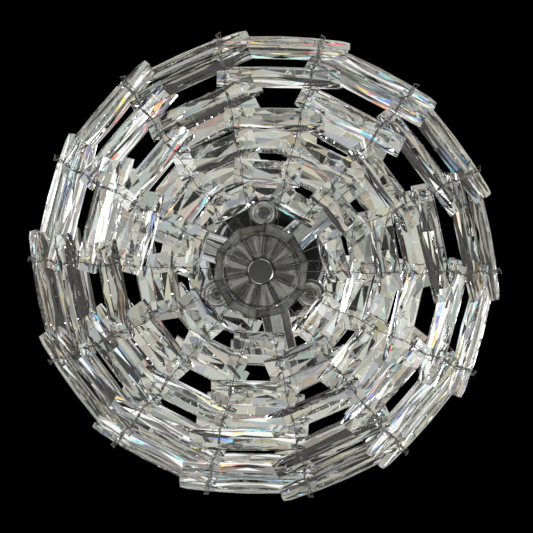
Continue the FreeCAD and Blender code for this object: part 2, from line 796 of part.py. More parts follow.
def mountBlank():
    """Glass stem, two support wires and the filament between them."""
    stem = doc.addObject("Part::Cone", "mount_stem_cone")
    bind(stem, Radius1=s.mount_stem / 2, Radius2=s.mount_stem / 4, Height=s.mount_stem_height)
    place(stem, z=lampCapTop)
    doc.recompute()
    spread, foot = s.mount_spread.value, lampCapTop.value
    low = foot + s.mount_stem_height.value / 2
    high = foot + s.mount_height.value
    quarter = s.mount_stem.value / 4
    route = [Vector(-quarter / 2, 0, low), Vector(-spread, 0, low + quarter * 3),
             Vector(-spread, 0, high), Vector(0, 0, (low + high) / 2 + quarter),
             Vector(spread, 0, high), Vector(spread, 0, low + quarter * 3),
             Vector(quarter / 2, 0, low)]
    wire = bentWire(route, s.mount_wire.value, s.mount_wire.value)
    blank = doc.addObject("Part::Feature", "mount_blank")
    blank.Shape = stem.Shape.fuse(wire)
    return blank


def lamps():
    spots = lampPlaces()
    groups = (("holder_stirrups", stirrupBlank()), ("lampholders", holderBlank()),
              ("lamp_sleeves", sleeveBlank()))
    singles = (("bulb_cap", capBlank()), ("bulb_glass", glassBlank()), ("bulb_mount", mountBlank()))
    doc.recompute()
    for label, blank in groups:
        copies(label, blank, spots, centre)
    for label, blank in singles:
        for number, spot in enumerate(spots, start=1):
            copies(f"{label}_{number}", blank, [spot], centre)


# Plates, rod, dish and knob at the ends of the globe

dishTop = -plateReach - s.plate_thickness - s.spacer_height - s.running_gap \
    + s.dish_height - s.dish_floor
dishUnder = dishTop - s.dish_height
washerTop = dishUnder - s.running_gap
knobTop = washerTop - s.washer_height - s.running_gap


def endPlate(label, bore, low):
    plate = turned(label, [
        (bore, low), (s.plate_diameter / 2, low),
        (s.plate_diameter / 2, low + s.plate_thickness), (bore, low + s.plate_thickness)])
    angle = s.first_strand
    hole = drilled(plate, label + "_pin_hole", "XY_Plane", [
        (s.pin_circle / 2 * cosine(angle), s.pin_circle / 2 * sine(angle), s.pin_hole)])
    around(plate, hole, strandCount)
    return named(place(plate, z=centre), label)


def endPlates():
    endPlate("top_plate", s.stem_diameter / 2 + s.seat_gap, plateReach)
    endPlate("bottom_plate", s.rod_diameter / 2 + s.seat_gap, -plateReach - s.plate_thickness)


def lowerRod():
    bottom = knobTop - s.rod_in_knob
    rod = cylinder("lower_rod", s.rod_diameter, -s.rod_top - bottom, z=centre + bottom)
    return named(rod, "lower_rod")


def washerAt(label, diameter, height, low):
    bore = s.rod_diameter / 2 + s.seat_gap
    ring = turned(label, [
        (bore, low), (diameter / 2, low), (diameter / 2, low + height), (bore, low + height)])
    return named(place(ring, z=centre), label)


def tenSided(name, diameter, height, turn):
    """A ten-sided outline at a height, its first corner turned by so many degrees."""
    polygon = doc.addObject("Part::RegularPolygon", name)
    polygon.Polygon = dishSides
    bind(polygon, Circumradius=diameter / 2)
    place(polygon, z=centre + height)
    polygon.setExpression("Placement.Rotation.Angle", turn.formula)
    return polygon


def lofted(name, sections):
    loft = doc.addObject("Part::Loft", name)
    loft.Sections = sections
    loft.Solid = True
    loft.Ruled = True
    return loft


def crystalDish():
    halfSide = 180 / dishSides
    outside = lofted("dish_outside", [
        tenSided("dish_flat", s.dish_bottom, dishUnder, s.dish_turn),
        tenSided("dish_waist", s.dish_middle, dishUnder + s.dish_slope, s.dish_turn),
        tenSided("dish_rim_outline", s.dish_diameter, dishTop, s.dish_turn)])
    rimInside = s.dish_diameter - s.dish_rim * 2
    hollow = lofted("dish_hollow", [
        tenSided("dish_well_outline", s.dish_well, dishUnder + s.dish_floor, s.dish_turn + halfSide),
        tenSided("dish_mouth_outline", rimInside + (rimInside - s.dish_well) * s.overrun
                 / (s.dish_height - s.dish_floor), dishTop + s.overrun, s.dish_turn + halfSide)])
    bore = cylinder("dish_bore", s.rod_diameter + s.seat_gap * 2,
                    s.dish_height + s.overrun * 2, z=centre + dishUnder - s.overrun)
    return named(cut("crystal_dish", outside, joined("dish_cuts", [hollow, bore])), "crystal_dish")


def bottomKnob():
    radius, bore, edge = s.knob_diameter / 2, s.rod_diameter / 2 + s.seat_gap, s.knob_chamfer
    bottom = knobTop - s.knob_height
    knob = turned("bottom_knob", [
        (bore, knobTop), (radius - edge, knobTop), (radius, knobTop - edge),
        (radius, bottom + edge), (radius - edge, bottom), (0, bottom),
        (0, knobTop - s.knob_bore_depth), (bore, knobTop - s.knob_bore_depth)])
    return named(place(knob, z=centre), "bottom_knob")


# Crystals. Strands run like meridians, and each row has a crystal in every other gap
# between strands, so that the rows lie like bricks. The lower half mirrors the upper.

bayAngle = 360 / strandCount


def rowLean(row):
    """How far the crystals of a row lean from upright, in degrees.

    Towards the poles they lean more than the globe does, and lie over one another like tiles.
    """
    if row == rowsEachSide:
        return s.end_row_lean
    tiled = s.tile_lean * max(0, row - lastUprightRow)
    if row == rowsEachSide - 1:
        return (s.row_angle * (row - 0.5) + s.end_angle) / 2 + tiled
    return s.row_angle * row + tiled


def rowChord(row):
    return rowRing(row) * 2 * math.sin(math.radians(bayAngle / 2))


def rowLongEnd(row):
    return s.long_end - s.long_end_trim * max(0, row - lastLongRow)


def freeSketch(name, corners, turn):
    sketch = doc.addObject("Sketcher::SketchObject", name)
    sketch.Placement = Placement(Vector(), turn)
    outline(sketch, corners)
    return sketch


def slab(name, sketch, length):
    item = doc.addObject("Part::Extrusion", name)
    item.Base = sketch
    item.DirMode = "Normal"
    item.Symmetric = True
    item.Solid = True
    bind(item, LengthFwd=length)
    return item


def crystalBlank(row):
    """One cut bar. X runs along it from the middle of its gap, Z through it, holes on Z = 0."""
    left = -rowChord(row) / 2 - s.short_end
    right = rowChord(row) / 2 + rowLongEnd(row)
    side, cutOff = s.crystal_width / 2, s.corner_cut
    plan = freeSketch(f"crystal_plan_{row}", [
        (left + cutOff, -side), (right - cutOff, -side), (right, cutOff - side),
        (right, side - cutOff), (right - cutOff, side), (left + cutOff, side),
        (left, side - cutOff), (left, cutOff - side)], Rotation())
    profile = freeSketch(f"crystal_profile_{row}", [
        (left, -s.back_edge), (left + s.back_hip, -s.back_ridge),
        (right - s.back_hip, -s.back_ridge), (right, -s.back_edge), (right, s.front_edge),
        (right - s.front_hip, s.crystal_crown), (left + s.front_hip, s.crystal_crown),
        (left, s.front_edge)], uprightXZ)
    section = freeSketch(f"crystal_section_{row}", [
        (-side, -s.back_edge), (0, -s.back_ridge), (side, -s.back_edge), (side, s.front_edge),
        (s.crystal_table / 2, s.crystal_crown), (-s.crystal_table / 2, s.crystal_crown),
        (-side, s.front_edge)], uprightYZ)
    longest = (right - left) * 2
    crown = cylinder(f"crystal_crown_{row}", s.crown_radius * 2, s.crystal_width * 2,
                     x=(left + right) / 2, y=s.crystal_width,
                     z=s.crystal_crown - s.crown_radius, turn=uprightXZ)
    bar = shared(f"crystal_bar_{row}", [
        slab(f"crystal_plan_slab_{row}", plan, s.crystal_width),
        slab(f"crystal_profile_slab_{row}", profile, s.crystal_width * 2),
        slab(f"crystal_section_slab_{row}", section, longest), crown])
    holes = joined(f"crystal_holes_{row}", [
        cylinder(f"crystal_hole_{name}_{row}", s.crystal_hole, s.crystal_width,
                 x=x, z=-s.crystal_width / 2)
        for name, x in (("near", -rowChord(row) / 2), ("far", rowChord(row) / 2))])
    return cut(f"crystal_blank_{row}", bar, holes)


def strandAngle(strand):
    return s.first_strand.value - bayAngle * strand


def crystalPlace(row, bay):
    """Where a bar hangs about the centre. Rows above the equator are negative."""
    goldenAngle = 137.508
    step = abs(row)
    side = -1 if row > 0 else 1
    number = goldenAngle * (row * strandCount + bay)
    rock = (s.rocking * cosine(s.row_angle * step) * sine(asSize(number))).value
    sway = (s.sway * sine(s.row_angle * step) * sine(asSize(number * 2))).value
    middle = Rotation(Vector(0, 0, 1), strandAngle(bay + 0.5))
    lean = rowLean(step).value * side
    outward, along, up = Vector(1, 0, 0), Vector(0, 1, 0), Vector(0, 0, 1)
    leaning = Rotation(along, -lean)
    facing = Rotation(along, leaning.multVec(up), leaning.multVec(outward), "XYZ")
    distance = rowRing(step).value * math.cos(math.radians(bayAngle / 2))
    spot = Vector(distance, 0, rowReach(step).value * side)
    loose = Rotation(Vector(1, 0, 0), rock) * Rotation(Vector(0, 0, 1), sway)
    return Placement(middle.multVec(spot), middle * facing * loose)


def baysOf(row):
    """Even rows fill the odd gaps between strands, and odd rows the even ones.

    Near the top it is the other way round, so that from below these rows fill the gaps
    that the lower ones leave.
    """
    swapped = 1 if row < -lastMatchingRow else 0
    return range((row + swapped + 1) % 2, strandCount, 2)


def crystals():
    blanks = [crystalBlank(row) for row in range(rowsEachSide + 1)]
    doc.recompute()
    for step, blank in enumerate(blanks):
        label = f"crystals_row_{step}" if step else "crystals_equator"
        rows = (step, -step) if step else (0,)
        spots = [crystalPlace(row, bay) for row in rows for bay in baysOf(row)]
        copies(label, blank, spots, centre)


# Wires. Each joins the hole of one row to the hole of the next, and the last ones tie
# the strands to the end plates.

def holeAt(row, strand):
    """Placement of the crystal that a strand passes in a row, and the hole's X on it."""
    rowBays = baysOf(row)
    bay = strand if strand in rowBays else (strand - 1) % strandCount
    near = bay != strand
    x = rowChord(abs(row)).value / 2 * (-1 if near else 1)
    return crystalPlace(row, bay), x


def crystalEnd(row, strand, upper):
    """Tail, back and front points of a wire at a hole, on its upper or lower side."""
    spot, x = holeAt(row, strand)
    shift = (s.wire_diameter.value + s.wire_gap.value) / 2 * (1 if upper else -1)
    back = -s.back_ridge.value - s.tail_gap.value
    front = s.crystal_crown.value + s.wire_lift.value
    tail = shift + math.copysign(s.wire_tail.value, shift)
    local = (Vector(x, tail, back), Vector(x, shift, back), Vector(x, shift, front))
    return [spot.multVec(point) for point in local]


def link(row, strand):
    """Joins a row to the next one below it."""
    lowerEnd = crystalEnd(row + 1, strand, True)
    upperEnd = crystalEnd(row, strand, False)
    return bentWire(upperEnd + lowerEnd[::-1], s.wire_bend.value, s.wire_diameter.value)


def tie(strand, side):
    """Joins the last row to a plate: side is 1 at the top and -1 at the bottom."""
    rowEnd = crystalEnd(-side * rowsEachSide, strand, side > 0)
    turn = Rotation(Vector(0, 0, 1), strandAngle(strand))
    circle = s.pin_circle.value / 2
    inner = (plateReach.value - s.tie_lift.value) * side
    outer = (plateReach.value + s.plate_thickness.value + s.tail_gap.value) * side
    plateEnd = [Vector(circle, 0, inner), Vector(circle, 0, outer),
                Vector(circle - s.wire_tail.value, 0, outer)]
    return bentWire(rowEnd + [turn.multVec(point) for point in plateEnd],
                    s.wire_bend.value, s.wire_diameter.value)


def wires():
    strands = range(strandCount)
    upper, lower = range(-rowsEachSide, 0), range(rowsEachSide)
    for label, rows in (("wire_links_upper", upper), ("wire_links_lower", lower)):
        pieces = [link(row, strand) for row in rows for strand in strands]
        shaped(label, Part.makeCompound(pieces), centre)
    for label, side in (("wire_ties_top", 1), ("wire_ties_bottom", -1)):
        shaped(label, Part.makeCompound([tie(strand, side) for strand in strands]), centre)


def checked():
    """Every object has to be up to date and whole before a file is written."""
    doc.recompute()
    for thing in doc.Objects:
        if {"Invalid", "Error"} & set(thing.State):
            raise ValueError(f"{thing.Label} failed: {thing.State}")
    for thing in nodes:
        if thing.Shape.isNull() or not thing.Shape.isValid():
            raise ValueError(f"{thing.Label} has no sound shape")


ceilingBracket()
ceilingHook()
hookNut()
hangingLink()
stemEye()
canopyCup()
canopyCollar()
thumbScrew()
stemTube()
terminalBlock()
lampCable()
hubBody()
hubCover()
hubConnector()
nuts()
lampArms()
lamps()
endPlates()
lowerRod()
washerAt("dish_spacer", s.spacer_diameter, s.spacer_height,
         -plateReach - s.plate_thickness - s.spacer_height)
crystalDish()
washerAt("dish_washer", s.washer_diameter, s.washer_height, washerTop - s.washer_height)
bottomKnob()
crystals()
wires()
checked()

os.makedirs("parts", exist_ok=True)
for thing in nodes:
    thing.Shape.exportStep(f"parts/{thing.Label}.step")
    print(thing.Label, len(thing.Shape.Solids), "solids", round(thing.Shape.Volume), "mm3")
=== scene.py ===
import json
import math

import bpy
import numpy as np
from mathutils import Matrix, Vector


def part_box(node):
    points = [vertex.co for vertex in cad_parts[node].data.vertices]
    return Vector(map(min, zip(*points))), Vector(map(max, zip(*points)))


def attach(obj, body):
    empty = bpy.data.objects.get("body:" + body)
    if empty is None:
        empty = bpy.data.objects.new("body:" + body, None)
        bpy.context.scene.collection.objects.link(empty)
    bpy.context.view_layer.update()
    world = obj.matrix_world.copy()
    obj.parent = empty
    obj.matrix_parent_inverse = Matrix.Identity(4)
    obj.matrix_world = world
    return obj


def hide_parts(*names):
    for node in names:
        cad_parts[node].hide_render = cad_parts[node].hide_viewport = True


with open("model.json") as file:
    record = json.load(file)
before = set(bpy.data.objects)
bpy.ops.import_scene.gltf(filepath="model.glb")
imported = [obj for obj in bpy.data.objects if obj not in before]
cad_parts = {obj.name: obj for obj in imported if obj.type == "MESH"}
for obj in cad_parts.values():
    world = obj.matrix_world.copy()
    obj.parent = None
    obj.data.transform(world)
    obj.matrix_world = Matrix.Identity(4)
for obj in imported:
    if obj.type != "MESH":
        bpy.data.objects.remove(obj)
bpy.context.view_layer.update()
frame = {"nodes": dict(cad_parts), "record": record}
nodes = frame["nodes"]
scene = bpy.context.scene
scene.view_settings.view_transform = "Standard"

# middle of the crystal globe: on the stem's axis, at the height of the widest row
lowGlobe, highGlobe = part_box("crystals_equator")
lowStem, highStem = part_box("stem_tube")
globeMiddle = (lowStem + highStem) / 2
globeMiddle.z = (lowGlobe.z + highGlobe.z) / 2
print("globe middle", [round(v, 4) for v in globeMiddle])


# shader maths

class Field:
    # a socket that can be added, multiplied and so on, each step as a Math node

    def __init__(self, look, socket):
        self.look, self.socket = look, socket

    def join(self, kind, a, b=None, clamp=False):
        settings = {"operation": kind, "use_clamp": clamp}
        values = {0: a} if b is None else {0: a, 1: b}
        return self.look.add("ShaderNodeMath", settings, values)

    def __add__(self, other):
        return self.join("ADD", self, other)

    def __radd__(self, other):
        return self.join("ADD", other, self)

    def __sub__(self, other):
        return self.join("SUBTRACT", self, other)

    def __rsub__(self, other):
        return self.join("SUBTRACT", other, self)

    def __mul__(self, other):
        return self.join("MULTIPLY", self, other)

    def __truediv__(self, other):
        return self.join("DIVIDE", self, other)

    def __pow__(self, other):
        return self.join("POWER", self, other)

    def clamped(self):
        return self.join("ADD", self, 0.0, clamp=True)

    def wave(self):
        return self.join("SINE", self)

    def size(self):
        return self.join("ABSOLUTE", self)

    def part(self):
        return self.join("FRACT", self)


class Look:
    # one node tree, of a material or of the world

    def __init__(self, tree):
        self.tree = tree
        tree.nodes.clear()

    def put(self, socket, value):
        # links a field to the socket, or sets the socket's own value
        if isinstance(value, Field):
            self.tree.links.new(value.socket, socket)
        else:
            socket.default_value = value

    def add(self, kind, settings=None, values=None, out=0):
        node = self.tree.nodes.new(kind)
        for name, value in (settings or {}).items():
            setattr(node, name, value)
        for name, value in (values or {}).items():
            self.put(node.inputs[name], value)
        return Field(self, node.outputs[out]) if len(node.outputs) else None

    def other(self, field, name):
        return Field(self, field.socket.node.outputs[name])

    def blend(self, amount, a, b):
        # mixes two colours
        node = self.tree.nodes.new("ShaderNodeMix")
        node.data_type = "RGBA"
        self.put(node.inputs[0], amount)
        for socket, colour in ((node.inputs[6], a), (node.inputs[7], b)):
            self.put(socket, colour if isinstance(colour, Field) else (*colour, 1.0))
        return Field(self, node.outputs[2])


def newMaterial(name):
    material = bpy.data.materials.new(name)
    material.use_nodes = True
    return material, Look(material.node_tree)


def finishMaterial(material, look, values):
    shader = look.add("ShaderNodeBsdfPrincipled", None, values)
    look.add("ShaderNodeOutputMaterial", None, {"Surface": shader})
    return material


def noise(look, place, scale, detail=2.0, roughness=0.5):
    return look.add("ShaderNodeTexNoise", None,
                    {"Vector": place, "Scale": scale, "Detail": detail, "Roughness": roughness})


def objectPlace(look):
    return look.add("ShaderNodeTexCoord", out=3)


def bumpFrom(look, height, strength, distance):
    return look.add("ShaderNodeBump", None,
                    {"Height": height, "Strength": strength, "Distance": distance})


def aboutStem(look):
    # direction from the stem's axis, as two fields, and the distance from it
    parts = look.add("ShaderNodeSeparateXYZ", None, {"Vector": objectPlace(look)})
    x, y = (look.other(parts, name) for name in "XY")
    distance = (x * x + y * y) ** 0.5
    return x / distance, y / distance, distance


# glass

crystalCut = {"tint": (0.975, 0.98, 0.96), "paler": 1.02, "index": 1.58, "drift": 28.0,
              "haze": 0.012, "ripples": 90.0, "rippleStrength": 0.15, "rippleDepth": 0.0002}


def crystalMaterial():
    material, look = newMaterial("cutCrystal")
    place = objectPlace(look)
    drift = noise(look, place, crystalCut["drift"])
    ripple = noise(look, place, crystalCut["ripples"], 1.0)
    tint = crystalCut["tint"]
    paler = tuple(min(1, v * crystalCut["paler"]) for v in tint)
    return finishMaterial(material, look, {
        "Base Color": look.blend(drift, tint, paler), "Roughness": drift * crystalCut["haze"],
        "IOR": crystalCut["index"], "Transmission Weight": 1.0,
        "Normal": bumpFrom(look, ripple, crystalCut["rippleStrength"],
                           crystalCut["rippleDepth"])})


# waist: half the dish's width across flats, where its rim facets meet its bottom facets. Rim:
# where the painted dark outline begins. A line's painted shade is its value less its fade times
# the distance
dishCut = {"sides": 10, "firstCorner": -11.5, "fold": 0.08, "waist": 0.0366, "rim": 0.0438,
           "floorTint": (0.84, 0.84, 0.835), "rimShade": (0.25, 0.245, 0.235),
           "lineShade": (0.02, 0.018, 0.015), "rimStart": 1200.0, "rimHaze": 0.16,
           "outlineStart": 3000.0, "waistLine": 1.4, "waistFade": 1800.0,
           "cornerLine": 2.0, "cornerFade": 1000.0, "cornerShade": 0.6}


def dishMaterial():
    # the dish's crystal: a shallow fold along the middle of each facet, and painted shade: a
    # darker rim and dark lines along the facets' edges. Facet runs from -0.5 to 0.5 between two
    # corners
    cut = dishCut
    material, look = newMaterial("dishCrystal")
    alongX, alongY, distance = aboutStem(look)
    turn = alongX.join("ARCTAN2", alongY, alongX) - math.radians(cut["firstCorner"])
    facet = (turn * (cut["sides"] / math.tau) + cut["sides"]).part() - 0.5
    fold = facet.size() * distance * cut["fold"]
    outwards = distance * facet.join("COSINE", facet * (math.tau / cut["sides"]))
    rim = ((outwards - cut["waist"]) * cut["rimStart"]).clamped()
    outline = ((outwards - cut["rim"]) * cut["outlineStart"]).clamped()
    waist = (cut["waistLine"] - (outwards - cut["waist"]).size() * cut["waistFade"]).clamped()
    fromCorner = (0.5 - facet.size()) * distance * (math.tau / cut["sides"])
    corner = (cut["cornerLine"] - fromCorner * cut["cornerFade"]).clamped() * cut["cornerShade"]
    shadeLines = (outline + waist + corner).clamped()
    # painted shade: the rim darker and the lines near black in the glass's colour
    tint = look.blend(rim, cut["floorTint"], cut["rimShade"])
    drift = noise(look, objectPlace(look), crystalCut["drift"])
    return finishMaterial(material, look, {
        "Base Color": look.blend(shadeLines, tint, cut["lineShade"]),
        "Roughness": drift * crystalCut["haze"] + rim * cut["rimHaze"],
        "IOR": crystalCut["index"], "Transmission Weight": 1.0,
        "Normal": bumpFrom(look, fold, 1.0, 1.0)})


groundGlass = {"grain": 900.0, "roughGrain": 0.2, "clear": 0.6,
               "holeTints": ((0.80, 0.81, 0.80), (0.95, 0.96, 0.95)), "holeRough": 0.35,
               "holeIndex": 1.3, "edgeTintAndShade": ((0.85, 0.86, 0.84), (0.05, 0.045, 0.04)),
               "edgeRough": 0.2, "edgeIndex": 1.4, "edgeStart": 900.0}


def groundEdgeAndShadeMaterial():
    # ground edges between the dish's facets: pale frosted lines on its floor, and round its rim
    # dark lines of painted shade
    material, look = newMaterial("groundEdgeAndShade")
    rim = ((aboutStem(look)[2] - dishCut["waist"]) * groundGlass["edgeStart"]).clamped()
    grain = noise(look, objectPlace(look), groundGlass["grain"])
    return finishMaterial(material, look, {
        # the second edge tint is painted shade, near black on the rim's edges
        "Base Color": look.blend(rim, *groundGlass["edgeTintAndShade"]),
        "Roughness": groundGlass["edgeRough"] + grain * groundGlass["roughGrain"],
        "IOR": groundGlass["edgeIndex"], "Transmission Weight": groundGlass["clear"]})


def groundHoleMaterial():
    # wall of a drilled hole: ground, not polished
    material, look = newMaterial("groundHole")
    grain = noise(look, objectPlace(look), groundGlass["grain"])
    return finishMaterial(material, look, {
        "Base Color": look.blend(grain, *groundGlass["holeTints"]),
        "Roughness": groundGlass["holeRough"] + grain * groundGlass["roughGrain"],
        "IOR": groundGlass["holeIndex"], "Transmission Weight": groundGlass["clear"]})


lampBulb = {"tint": (0.98, 0.985, 0.98, 1), "index": 1.46, "drift": 60.0, "haze": 0.02}


def lampGlassMaterial():
    material, look = newMaterial("lampGlass")
    drift = noise(look, objectPlace(look), lampBulb["drift"])
    return finishMaterial(material, look, {
        "Base Color": lampBulb["tint"], "Roughness": drift * lampBulb["haze"],
        "IOR": lampBulb["index"], "Transmission Weight": 1.0})


# metals and plastics

metalWear = {"cloud": 22.0, "cloudDetail": 4.0, "shadeFrom": 0.42, "contrast": 3.0,
             "grain": 120.0, "grainDetail": 3.0, "grainRoughness": 0.6, "grainShare": 0.5,
             "grainDepth": 0.0002}


def metalMarks(look):
    # cloudy handling marks, their shade from 0 to 1, and fine grain
    place, wear = objectPlace(look), metalWear
    cloud = noise(look, place, wear["cloud"], wear["cloudDetail"])
    shade = ((cloud - wear["shadeFrom"]) * wear["contrast"]).clamped()
    grain = noise(look, place, wear["grain"], wear["grainDetail"], wear["grainRoughness"])
    return cloud, shade, grain


def metalMaterial(name, colour, dark, rough, vary, scratch=0.0):
    # polished or brushed metal: vary is how far the marks roughen it, scratch how far the
    # grain tilts it
    material, look = newMaterial(name)
    cloud, shade, grain = metalMarks(look)
    return finishMaterial(material, look, {
        "Base Color": look.blend(shade, colour, dark), "Metallic": 1.0,
        "Roughness": rough + cloud * vary + grain * vary * metalWear["grainShare"],
        "Normal": bumpFrom(look, grain, scratch, metalWear["grainDepth"])})


knobFace = {"colour": (0.20, 0.20, 0.205), "dark": (0.14, 0.14, 0.145),
            "rimHighlight": (0.60, 0.60, 0.60), "rim": 0.0113, "rimStart": 5000.0,
            "rough": 0.36, "vary": 0.08, "polish": 0.25, "scratch": 0.3}


def knobMaterial():
    # satin face with a thin rim that is smoother and painted paler: a painted highlight
    material, look = newMaterial("knobMetal")
    rim = ((aboutStem(look)[2] - knobFace["rim"]) * knobFace["rimStart"]).clamped()
    cloud, shade, grain = metalMarks(look)
    satin = look.blend(shade, knobFace["colour"], knobFace["dark"])
    return finishMaterial(material, look, {
        # painted highlight: the rim's colour paler than the face
        "Base Color": look.blend(rim, satin, knobFace["rimHighlight"]), "Metallic": 1.0,
        "Roughness": knobFace["rough"] + cloud * knobFace["vary"] - rim * knobFace["polish"],
        "Normal": bumpFrom(look, grain, knobFace["scratch"], metalWear["grainDepth"])})


paintedReflectionRays = {"dark": (0.20, 0.19, 0.18), "pale": (0.95, 0.95, 0.95), "alongRay": 6.0,
             "rays": 4.5, "paleFrom": 0.43, "contrast": 7.0, "rough": 0.10, "vary": 0.12}


def plateMaterial():
    # mirror plate with a painted reflection: dark and pale rays running out from its middle,
    # painted into its colour
    rays = paintedReflectionRays
    material, look = newMaterial("mirrorPlate")
    alongX, alongY, distance = aboutStem(look)
    ray = look.add("ShaderNodeCombineXYZ", None,
                   {"X": alongX, "Y": alongY, "Z": distance * rays["alongRay"]})
    shade = ((noise(look, ray, rays["rays"]) - rays["paleFrom"]) * rays["contrast"]).clamped()
    cloud = noise(look, objectPlace(look), metalWear["cloud"], metalWear["cloudDetail"])
    return finishMaterial(material, look, {
        # painted reflection: the rays' dark and pale in the mirror's colour
        "Base Color": look.blend(shade, rays["dark"], rays["pale"]), "Metallic": 1.0,
        "Roughness": rays["rough"] + cloud * rays["vary"]})


plasticWear = {"cloud": 35.0, "cloudDetail": 3.0, "worn": 0.86, "wornFrom": 0.45,
               "contrast": 2.5, "vary": 0.12, "grain": 0.25, "grainDepth": 0.0001}


def plasticMaterial(name, colour, rough, grainScale=400.0):
    material, look = newMaterial(name)
    place, wear = objectPlace(look), plasticWear
    cloud = noise(look, place, wear["cloud"], wear["cloudDetail"])
    grain = noise(look, place, grainScale)
    shade = ((cloud - wear["wornFrom"]) * wear["contrast"]).clamped()
    worn = tuple(v * wear["worn"] for v in colour)
    return finishMaterial(material, look, {
        "Base Color": look.blend(shade, colour, worn), "Roughness": rough + cloud * wear["vary"],
        "Normal": bumpFrom(look, grain, wear["grain"], wear["grainDepth"])})


crystal = crystalMaterial()
dishCrystal = dishMaterial()
groundEdgeAndShade = groundEdgeAndShadeMaterial()
groundHole = groundHoleMaterial()
lampGlass = lampGlassMaterial()
chrome = metalMaterial("chromePlate", (0.82, 0.83, 0.84), (0.70, 0.71, 0.72), 0.03, 0.06)
# chrome darkened to near black: painted shade, used on the canopy
shadedChrome = metalMaterial("shadedChrome", (0.070, 0.070, 0.072), (0.035, 0.035, 0.036),
                            0.06, 0.08)
mirrorPlate = plateMaterial()
zinc = metalMaterial("zincSteel", (0.62, 0.62, 0.60), (0.44, 0.44, 0.43), 0.28, 0.22, 0.3)
nickelWire = metalMaterial("darkNickelWire", (0.19, 0.175, 0.16), (0.08, 0.072, 0.065),
                           0.25, 0.25)
capMetal = metalMaterial("lampCap", (0.42, 0.40, 0.36), (0.25, 0.23, 0.20), 0.22, 0.2, 0.3)
knobMetal = knobMaterial()
porcelain = plasticMaterial("porcelain", (0.86, 0.85, 0.82), 0.22)
sheath = plasticMaterial("cableSheath", (0.50, 0.50, 0.48), 0.35)
rubber = plasticMaterial("washerRubber", (0.035, 0.035, 0.036), 0.55)

slotLooks = {
    "zinc_steel": zinc, "chrome_metal": chrome, "white_plastic": porcelain,
    "cable_sheath": sheath, "cap_metal": capMetal, "lamp_glass": lampGlass,
    "mount_wire": nickelWire, "crystal": crystal, "pin_wire": nickelWire,
    "washer_rubber": rubber, "knob_metal": knobMetal,
}
nodeSlots = {part["node"]: part["material_slot"] for part in frame["record"]["subparts"]}
# the canopy's chrome takes the near-black colour: painted shade
nodeLooks = {"top_plate": mirrorPlate, "bottom_plate": mirrorPlate, "crystal_dish": dishCrystal,
             "canopy_cup": shadedChrome, "canopy_collar": shadedChrome}
for name, node in nodes.items():
    node.data.materials.clear()
    node.data.materials.append(nodeLooks.get(name, slotLooks[nodeSlots[name]]))
print("materials on", len(nodes), "nodes")

# fine ground edges on the dish's facets, with painted shade on those round its rim: its loose
# triangles are joined first

dishEdges = {"joined": 0.00001, "width": 0.0011, "leastAngle": 5}

dish = nodes["crystal_dish"]
weld = dish.modifiers.new("joinFacets", "WELD")
weld.merge_threshold = dishEdges["joined"]
bevelled = dish.modifiers.new("facetEdges", "BEVEL")
bevelled.width, bevelled.segments = dishEdges["width"], 1
bevelled.limit_method = "ANGLE"
bevelled.angle_limit = math.radians(dishEdges["leastAngle"])
dish.data.materials.append(groundEdgeAndShade)
bevelled.material = 1
print("dish edges ground")


# crystal bars, hung in rows on strands of wire: sizes in metres and degrees, as in the CAD

globe = {"strands": 14, "rows": 9, "radius": 0.226, "rowAngle": 8.05, "endAngle": 50.0,
         "endLean": 62.0, "tileLean": 4.5, "lastUpright": 4, "lastMatching": 5,
         "firstStrand": 1.5, "rocking": 6.0, "sway": 4.0, "goldenAngle": 137.508,
         "plateLift": 0.02784}
barCut = {"width": 0.0246, "table": 0.017, "crown": 0.008, "crownRadius": 0.5,
          "frontEdge": 0.002, "backEdge": 0.0025, "backRidge": 0.0045, "frontHip": 0.020,
          "endHip": 0.0012, "backHip": 0.026, "backRise": 0.8, "longEnd": 0.029,
          "longTrim": 0.005, "lastLong": 5, "shortEnd": 0.008, "diamond": 0.023,
          "facetDepth": 0.0008, "section": 8}
# walls of the holes, from near the back edge's depth to a little more than the front edge's
drilled = {"radius": 0.0015, "sides": 8, "back": 0.9, "front": 2.2}


def rowPlaces():
    # ring radius, height and lean of each row's holes: steps of one angle round a circle,
    # and a last steeper step towards the pole
    rows = np.arange(globe["rows"] + 1)
    step, slope = math.radians(globe["rowAngle"]), math.radians(globe["endAngle"])
    ring, reach = globe["radius"] * np.cos(step * rows), globe["radius"] * np.sin(step * rows)
    pitch = 2 * globe["radius"] * math.sin(step / 2)
    ring[-1] = ring[-2] - pitch * math.sin(slope)
    reach[-1] = reach[-2] + pitch * math.cos(slope)
    tiled = globe["tileLean"] * np.maximum(0, rows - globe["lastUpright"])
    lean = globe["rowAngle"] * rows + tiled
    lean[-2] = (globe["rowAngle"] * (rows[-2] - 0.5) + globe["endAngle"]) / 2 + tiled[-2]
    lean[-1] = globe["endLean"]
    return ring, reach, lean


ring, reach, lean = rowPlaces()
bayAngle = 360 / globe["strands"]
chord = 2 * ring * math.sin(math.radians(bayAngle / 2))
plateReach = reach[-1] + globe["plateLift"]


def turnAbout(axis, degrees):
    return np.array(Matrix.Rotation(math.radians(degrees), 3, axis))


